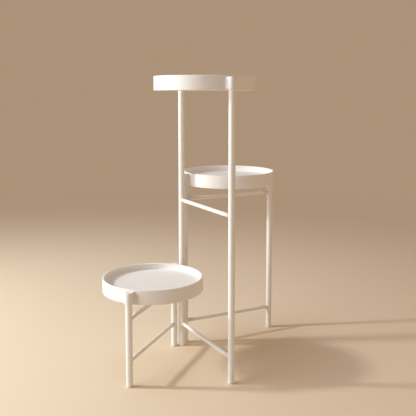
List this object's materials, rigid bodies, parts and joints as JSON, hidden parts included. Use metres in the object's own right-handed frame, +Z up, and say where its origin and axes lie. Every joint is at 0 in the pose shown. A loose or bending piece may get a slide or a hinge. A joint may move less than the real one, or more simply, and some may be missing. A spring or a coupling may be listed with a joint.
{
  "type": "tiered plant stand",
  "caption": "Folding tiered plant stand: ladder frames of round tube joined by hinge links, each carrying a shallow round lift-off tray at its own height.",
  "frame": {"origin": "centre of the foot of the tall frame's hinge post, on the floor", "axes": "+Z up, +X to the right and +Y to the rear of the opened stand, as the picture sees it"},
  "size_m": [0.4492, 0.4747, 0.725],
  "materials": {
    "powder_coat": "satin white powder coat with a fine orange peel",
    "glide_plastic": "moulded white plastic, slightly matte",
    "nylon": "natural nylon"
  },
  "bodies": {
    "tall_frame": {"tall_hinge_post": "powder_coat", "tall_outer_post": "powder_coat", "tall_upper_rung": "powder_coat", "tall_lower_rung": "powder_coat", "tall_hinge_foot": "glide_plastic", "tall_outer_foot": "glide_plastic", "tall_hinge_plug": "glide_plastic", "tall_outer_plug": "glide_plastic", "upper_bottom_collar": "powder_coat", "upper_link_washer": "nylon", "upper_top_collar": "powder_coat", "lower_bottom_collar": "powder_coat", "lower_link_washer": "nylon", "lower_top_collar": "powder_coat"},
    "low_links": {"low_upper_link": "powder_coat", "low_lower_link": "powder_coat"},
    "mid_links": {"mid_upper_link": "powder_coat", "mid_lower_link": "powder_coat"},
    "low_frame": {"low_hinge_post": "powder_coat", "low_outer_post": "powder_coat", "low_upper_rung": "powder_coat", "low_lower_rung": "powder_coat", "low_hinge_foot": "glide_plastic", "low_outer_foot": "glide_plastic", "low_hinge_plug": "glide_plastic", "low_outer_plug": "glide_plastic"},
    "mid_frame": {"mid_hinge_post": "powder_coat", "mid_outer_post": "powder_coat", "mid_upper_rung": "powder_coat", "mid_lower_rung": "powder_coat", "mid_hinge_foot": "glide_plastic", "mid_outer_foot": "glide_plastic", "mid_hinge_plug": "glide_plastic", "mid_outer_plug": "glide_plastic"},
    "tall_tray": {"tall_tray_band": "powder_coat", "tall_tray_pan": "powder_coat", "tall_tray_hinge_socket": "powder_coat", "tall_tray_outer_socket": "powder_coat"},
    "mid_tray": {"mid_tray_band": "powder_coat", "mid_tray_pan": "powder_coat", "mid_tray_hinge_socket": "powder_coat", "mid_tray_outer_socket": "powder_coat"},
    "low_tray": {"low_tray_band": "powder_coat", "low_tray_pan": "powder_coat", "low_tray_hinge_socket": "powder_coat", "low_tray_outer_socket": "powder_coat"}
  },
  "joints": [
    {"name": "low_link_swing", "type": "hinge", "parent": "tall_frame", "child": "low_links", "pos_m": [0, 0, 0], "axis": [0, 0, 1], "range_deg": [-20, 17]},
    {"name": "low_frame_swing", "type": "hinge", "parent": "low_links", "child": "low_frame", "pos_m": [-0.0216, -0.0042, 0], "axis": [0, 0, 1], "range_deg": [-60, 30.5]},
    {"name": "mid_link_swing", "type": "hinge", "parent": "tall_frame", "child": "mid_links", "pos_m": [0, 0, 0], "axis": [0, 0, -1], "range_deg": [-20, 41.5]},
    {"name": "mid_frame_swing", "type": "hinge", "parent": "mid_links", "child": "mid_frame", "pos_m": [0.00771, 0.02061, 0], "axis": [0, 0, -1], "range_deg": [-45, 47.5]},
    {"name": "tall_tray_lift", "type": "slide", "parent": "tall_frame", "child": "tall_tray", "axis": [0, 0, 1], "range_m": [0, 0.05]},
    {"name": "mid_tray_lift", "type": "slide", "parent": "mid_frame", "child": "mid_tray", "axis": [0, 0, 1], "range_m": [0, 0.05]},
    {"name": "low_tray_lift", "type": "slide", "parent": "low_frame", "child": "low_tray", "axis": [0, 0, 1], "range_m": [0, 0.05]}
  ]
}
